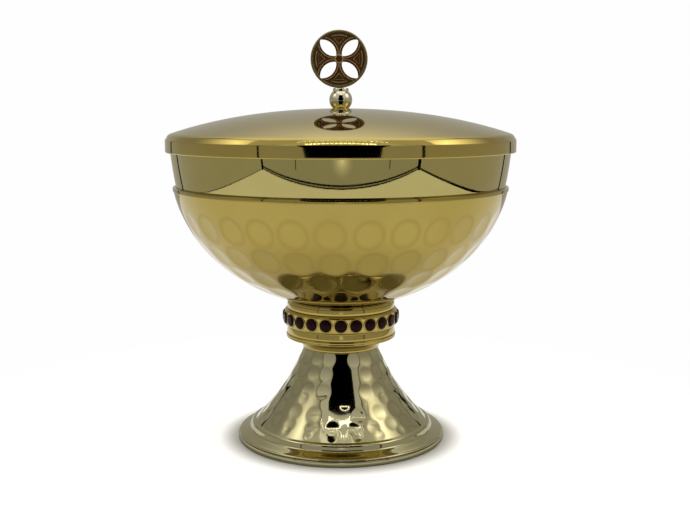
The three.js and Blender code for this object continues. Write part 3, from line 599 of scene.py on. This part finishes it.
def make_rod():
    pitch = 1.0
    rod = spun("tie_rod_threaded", [
        (0, 36.5), (2.5, 36.5), *[(3, level) for level in even(36.9, 73.5, 0.17)], (2.6, 73.7), (0, 73.7)], 40)
    for corner in rod.data.vertices:
        x, y, z = corner.co / MM
        radius = math.hypot(x, y)
        if radius > 2.9:
            turn = (z / pitch - math.atan2(y, x) / math.tau) % 1
            thread = 1 - 0.18 * abs(2 * turn - 1)
            corner.co.x *= thread
            corner.co.y *= thread
    dress(rod, zinc_steel, "cup_and_foot", "zinc_steel", "tie_rod")

    washer = spun("foot_washer_flat", [(ROD_HOLE, 44), (9, 44), (9, 45.2), (ROD_HOLE, 45.2)], 64, 0.15)
    dress(washer, zinc_steel, "cup_and_foot", "zinc_steel", "foot_washer")

    bpy.ops.object.select_all(action="DESELECT")
    bpy.ops.mesh.primitive_cylinder_add(vertices=6, radius=5.774 * MM, depth=5 * MM, location=(0, 0, 41.5 * MM))
    nut = start("foot_nut_hexagon")
    settle(nut)
    cut(nut, spun("chamfer", [(0, 38.9), (4.6, 38.9), (6, 39.6), (6, 43.4), (4.6, 44.1), (0, 44.1)], 64), "INTERSECT")
    cut(nut, spun("bore", [(0, 38), (4, 38), (3.3, 39.6), (3.3, 43.4), (4, 45), (0, 45)], 48))
    smooth(nut, 25)
    dress(nut, zinc_steel, "cup_and_foot", "zinc_steel", "foot_nut")


# Medallion

PETAL_ARC = 7.125  # radius of the two arcs of a petal
PETAL_ASIDE = 4.275  # of the arcs' middles from the petal's axis
PETAL_MIDDLE = 7.65  # from the medallion's middle
PETAL_END = 13.25  # where its tip is cut off, in the rim


def petal_line(grow, steps, end):
    """Outline of a petal on the X axis, widened by grow and cut off at a distance from the middle."""
    arc_radius = PETAL_ARC + grow
    tip = math.degrees(math.asin(PETAL_ASIDE / arc_radius))
    low = arc((PETAL_MIDDLE, PETAL_ASIDE), arc_radius, 180 + tip, 360 - tip, steps)
    return [point for point in low if point[0] <= end]


def petal_outline(steps=28):
    low = petal_line(0, steps, PETAL_END)
    high = [(x, -y) for x, y in reversed(low[1:])]
    return low + high


def quarter_turned(points, quarter, ahead):
    turn = math.radians(90 * quarter + ahead)
    return [(x * math.cos(turn) - y * math.sin(turn), x * math.sin(turn) + y * math.cos(turn)) for x, y in points]


def drawn(name, lines, closed, **shape):
    """A curve through the given lines of (x, y) points in mm, made a mesh."""
    curve = bpy.data.curves.new(name, "CURVE")
    for setting, value in shape.items():
        setattr(curve, setting, value)
    for line in lines:
        spline = curve.splines.new("POLY")
        spline.points.add(len(line) - 1)
        for point, (x, y) in zip(spline.points, line):
            point.co = (x * MM, y * MM, 0, 1)
        spline.use_cyclic_u = closed
    piece = bpy.data.objects.new(name, curve)
    bpy.context.scene.collection.objects.link(piece)
    bpy.ops.object.select_all(action="DESELECT")
    piece.select_set(True)
    bpy.context.view_layer.objects.active = piece
    bpy.ops.object.convert(target="MESH")
    return start(name)


def make_medallion():
    circle = arc((0, 0), 13.6, 0, 360 * 127 / 128, 127)
    petals = [quarter_turned(petal_outline(), quarter, 45) for quarter in range(4)]
    plate = drawn("medallion_plate", [circle, *petals], True, dimensions="2D", fill_mode="BOTH",
                  extrude=0.7 * MM, bevel_depth=0.08 * MM, bevel_resolution=2)

    stems = []
    triangles = []
    for quarter in range(4):
        side = [point for point in petal_line(0.95, 40, 12.3) if point[0] > 1.3]
        stems.append(quarter_turned(side, quarter, 45))
        stems.append(quarter_turned([(x, -y) for x, y in side], quarter, 45))
        stems.append(quarter_turned(arc((0, 0), 11.5, -20, 20, 16), quarter, 0))
        triangles.append(quarter_turned([(7, 0), (10.05, -2.55), (10.05, 2.55)], quarter, 0))
    parts = [plate]
    for height in (0.8, -0.8):
        ridges = drawn("medallion_ridges", stems, False, dimensions="3D", bevel_depth=0.3 * MM,
                       bevel_resolution=4, use_fill_caps=True)
        outlines = drawn("medallion_triangles", triangles, True, dimensions="3D", bevel_depth=0.28 * MM,
                         bevel_resolution=4)
        ridges.location.z = outlines.location.z = height * MM
        parts += [ridges, outlines]
    rim = spun("medallion_rim", [
        (12.9, -0.6), (12.95, -1.1), (13.15, -1.3), (13.7, -1.3), (14.05, -1), (14.15, -0.6), (14.15, 0.6), (14.05, 1),
        (13.7, 1.3), (13.15, 1.3), (12.95, 1.1), (12.9, 0.6)], 128, 0.08)
    cut(rim, drawn("petal_cutters", petals, True, dimensions="2D", fill_mode="BOTH", extrude=3 * MM))
    hub = spun("medallion_hub", [
        (0, -0.4), (1.45, -0.4), (1.6, -1.1), (1.95, -1.2), (2.2, -1), (2.3, -0.6), (2.3, 0.6), (2.2, 1), (1.95, 1.2),
        (1.6, 1.1), (1.45, 0.4), (0, 0.4)], 48)
    medallion = joined("medallion_cast", [*parts, rim, hub])
    medallion.rotation_euler.x = math.pi / 2
    medallion.location = (-0.8 * MM, 0, (MEDALLION_MIDDLE - 0.4) * MM)
    medallion.scale = (0.98, 0.98, 1)
    settle(medallion)
    peg = spun("medallion_peg", [(0, 170.2), (1.1, 170.2), (1.2, 170.4), (1.2, 175.6), (0, 175.6)], 32)
    medallion = joined("medallion_cast", [medallion, peg])
    smooth(medallion, 40)
    dress(medallion, cast_brass, "lid", "aged_brass", "medallion")


make_foot()
make_node()
make_stone_band()
make_calyx()
make_cup()
make_rod()
make_lid()
make_knob()
make_medallion()

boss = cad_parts["cup_boss"]
boss.data.materials.clear()
boss.data.materials.append(plain_brass)


# Studio: a pale table in a tent of lit white cloth, open at the front for the camera

TENT = 0.431  # half the width at the front, and REAR at the back
REAR = 0.52
FRONT = -0.385
BACK = 0.5
ROOF = 0.9


def cloth(name, low, high, bottom, top, spots=(), colour="#ffffff"):
    """Lit white cloth. Its light grows from low at the height bottom to high at top, and each spot
    of (place, radius, strength) adds the soft pool of a lamp behind it."""
    material, tree = new_material(name)
    place = add_node(tree, "ShaderNodeTexCoord").outputs["Object"]
    height = add_node(tree, "ShaderNodeSeparateXYZ", {"Vector": place})
    light = add_node(tree, "ShaderNodeMapRange", {
        "Value": height.outputs["Z"], "From Min": bottom, "From Max": top, "To Min": low, "To Max": high},
        interpolation_type="SMOOTHSTEP").outputs[0]
    for middle, radius, strength in spots:
        centred = add_node(tree, "ShaderNodeMapping", {
            "Vector": place, "Location": [-c / radius for c in middle], "Scale": (1 / radius,) * 3})
        pool = add_node(tree, "ShaderNodeTexGradient", {"Vector": centred.outputs[0]},
                        gradient_type="QUADRATIC_SPHERE")
        light = add_node(tree, "ShaderNodeMath", {0: pool.outputs["Fac"], 1: strength, 2: light},
                         operation="MULTIPLY_ADD").outputs[0]
    finish_material(tree, add_node(tree, "ShaderNodeEmission", {"Color": linear(colour), "Strength": light}))
    return material


def plain_light(name, strength):
    material, tree = new_material(name)
    finish_material(tree, add_node(tree, "ShaderNodeEmission", {"Strength": strength}))
    return material


def panel(name, corners, material):
    """A flat panel of the tent, which lights and mirrors but isn't in the camera's way."""
    mesh = bpy.data.meshes.new(name)
    mesh.from_pydata([Vector(corner) for corner in corners], [], [list(range(len(corners)))])
    made = bpy.data.objects.new(name, mesh)
    bpy.context.scene.collection.objects.link(made)
    mesh.materials.append(material)
    made.visible_camera = False
    return made


def upright(name, x0, y0, x1, y1, bottom, top, material):
    return panel(name, [(x0, y0, bottom), (x1, y1, bottom), (x1, y1, top), (x0, y0, top)], material)


def make_tent():
    upright("tent_front", -TENT, FRONT, TENT, FRONT, 0, ROOF, cloth(
        "front_cloth", 0.47, 0.8, 0.14, 0.6, [((0.005, FRONT, 0.066), 0.05, 0.85)]))
    upright("tent_left", -REAR, BACK, -TENT, FRONT, 0, ROOF, cloth(
        "left_cloth", 0.52, 0.4, 0.05, 0.2, [((-TENT - 0.03, -0.1, 0.54), 0.34, 2.2),
                                      ((-TENT - 0.04, 0, 0.88), 0.5, 0.7)], "#fffdf4"))
    upright("tent_right", TENT, FRONT, REAR, BACK, 0, ROOF, cloth(
        "right_cloth", 0.52, 0.42, 0.05, 0.2, [((TENT + 0.03, -0.1, 0.52), 0.36, 3.0),
                                       ((TENT + 0.04, 0, 0.88), 0.5, 0.7)], "#fffbf0"))
    upright("tent_back", REAR, BACK, -REAR, BACK, 0, ROOF, cloth(
        "back_cloth", 0.45, 0.8, 0.38, 0.7, [((0, BACK, 0.74), 0.5, 0.7)], "#fffdf0"))
    panel("tent_roof", [(-TENT, FRONT, ROOF), (TENT, FRONT, ROOF), (REAR, BACK, ROOF), (-REAR, BACK, ROOF)],
          plain_light("roof_cloth", 1.4))

    dark = plain_light("dark_gap", 0.0)
    ahead = FRONT + 0.004
    panel("tent_opening", [(-0.118, ahead, 0.115), (0.138, ahead, 0.115), (0.18, ahead, 0.15), (0.25, ahead, 0.53),
                           (0.25, ahead, 0.6), (-0.21, ahead, 0.6), (-0.21, ahead, 0.53), (-0.16, ahead, 0.15)],
          dark)
    upright("seam_front_low", -TENT, ahead, TENT, ahead, 0.0005, 0.0045, dark)
    upright("seam_front_high", -TENT, ahead, TENT, ahead, 0.007, 0.012, dark)
    upright("seam_left", -REAR + 0.004, BACK, -TENT + 0.004, FRONT, 0.0005, 0.0025, dark)
    upright("seam_right", TENT - 0.004, FRONT, REAR - 0.004, BACK, 0.0005, 0.0065, dark)
    for side, name, width in ((-1, "left", 0.009), (1, "right", 0.014)):
        near = side * (TENT - 0.004)
        upright(f"corner_front_{name}", near, ahead + width, near - side * width, ahead, 0, ROOF, dark)
        far = side * (REAR - 0.006)
        upright(f"corner_rear_{name}", far, BACK - 0.03, far - side * 0.02, BACK - 0.006, 0, 0.3, dark)

    for x in (-0.188, 0.207):
        upright(f"clip_{'left' if x < 0 else 'right'}", x - 0.002, ahead, x + 0.002, ahead, 0.035, 0.065, dark)
    flap_cloth = cloth("flap_cloth", 0.7, 0.8, 0.2, 0.4, [], "#fffdf4")
    for name, near, far in (("left", -0.18, -0.042), ("right", 0.046, 0.18)):
        upright(f"flap_{name}", near, -0.11, far, -0.11, 0.207, 0.4, flap_cloth)

    bulbs = plain_light("lamp_row", 7.0)
    for name, count, apart, wide, bottom, top in (("high", 10, 0.037, 0.01, 0.776, 0.788),
                                                  ("low", 8, 0.023, 0.0075, 0.638, 0.664)):
        for i in range(-count, count + 1):
            x = apart * i
            upright(f"lamp_{name}_{i + count + 1:02d}", x - wide, FRONT + 0.01, x + wide, FRONT + 0.01, bottom, top,
                    bulbs)


make_tent()


def make_table():
    """Pale matt table top. To the camera it holds the object's soft shadow near the foot, partly cast and
    partly painted, and is the white of the backdrop further out. Metal and glass see it the same, and
    with painted shade they see it a little dimmer near the foot."""
    bpy.ops.object.select_all(action="DESELECT")
    bpy.ops.mesh.primitive_plane_add(size=12)
    table = start("table_top")
    material, tree = new_material("pale_table")
    place = add_node(tree, "ShaderNodeTexCoord").outputs["Object"]
    distance = add_node(tree, "ShaderNodeVectorMath", {0: place}, operation="LENGTH").outputs["Value"]
    rays = add_node(tree, "ShaderNodeLightPath").outputs
    mirrored = add_node(tree, "ShaderNodeMath", {0: rays["Is Glossy Ray"], 1: rays["Is Transmission Ray"]},
                        operation="MAXIMUM").outputs[0]
    seen = add_node(tree, "ShaderNodeMath", {0: rays["Is Camera Ray"], 1: mirrored}, operation="MAXIMUM").outputs[0]

    paint = add_node(tree, "ShaderNodeMix", data_type="RGBA")
    tree.links.new(rays["Is Camera Ray"], paint.inputs["Factor"])
    paint.inputs["A"].default_value = linear("#c0c0bd")
    paint.inputs["B"].default_value = linear("#f6f6f4")
    cloth_shader = add_node(tree, "ShaderNodeBsdfDiffuse", {"Color": paint.outputs[2]})
    # Painted shadow: the table's glow fades out over the last 12 mm to the foot, darker than the cast shadow alone.
    painted_shadow_by_foot = add_node(tree, "ShaderNodeMapRange", {
        "Value": distance, "From Min": 0.052, "From Max": 0.064}, interpolation_type="SMOOTHSTEP").outputs[0]
    # Painted shade: the glow that metal and glass see rises from 0.46 near the foot to 0.63 at 14 cm out.
    further = add_node(tree, "ShaderNodeMapRange", {
        "Value": distance, "From Min": 0.06, "From Max": 0.14, "To Min": 0.46, "To Max": 0.63}).outputs[0]
    camera_lift = add_node(tree, "ShaderNodeMath", {0: rays["Is Camera Ray"], 1: 0.6}, operation="MULTIPLY").outputs[0]
    lift = add_node(tree, "ShaderNodeMath", {0: further, 1: mirrored, 2: camera_lift},
                    operation="MULTIPLY_ADD").outputs[0]
    lift = add_node(tree, "ShaderNodeMath", {0: lift, 1: painted_shadow_by_foot}, operation="MULTIPLY").outputs[0]
    glow = add_node(tree, "ShaderNodeEmission", {"Strength": lift})
    near_shader = add_node(tree, "ShaderNodeAddShader")
    tree.links.new(cloth_shader.outputs[0], near_shader.inputs[0])
    tree.links.new(glow.outputs[0], near_shader.inputs[1])

    white = add_node(tree, "ShaderNodeEmission", {"Color": linear("#fefefe"), "Strength": seen})
    far = add_node(tree, "ShaderNodeMapRange", {
        "Value": distance, "From Min": 0.1, "From Max": 0.24}, interpolation_type="SMOOTHSTEP")
    both = add_node(tree, "ShaderNodeMixShader", {"Fac": far.outputs[0]})
    tree.links.new(near_shader.outputs[0], both.inputs[1])
    tree.links.new(white.outputs[0], both.inputs[2])
    finish_material(tree, both)
    table.data.materials.append(material)


make_table()

world = bpy.data.worlds.new("studio")
bpy.context.scene.world = world
world.use_nodes = True
world.node_tree.nodes.clear()
sky = add_node(world.node_tree, "ShaderNodeBackground", {"Color": linear("#fefefe"), "Strength": 1.0})
add_node(world.node_tree, "ShaderNodeOutputWorld", {"Surface": sky.outputs[0]})

# Camera, as far off and as high as the photograph's
lens = bpy.data.cameras.new("camera")
lens.sensor_width = 36
lens.lens = 1011.3 * 36 / 690
camera = bpy.data.objects.new("camera", lens)
bpy.context.scene.collection.objects.link(camera)
camera.location = (0, -0.5, 0.1655)
camera.rotation_euler = (math.radians(90 - 8.59), 0, math.radians(-0.238))
bpy.context.scene.camera = camera

bpy.context.scene.view_settings.view_transform = "Standard"
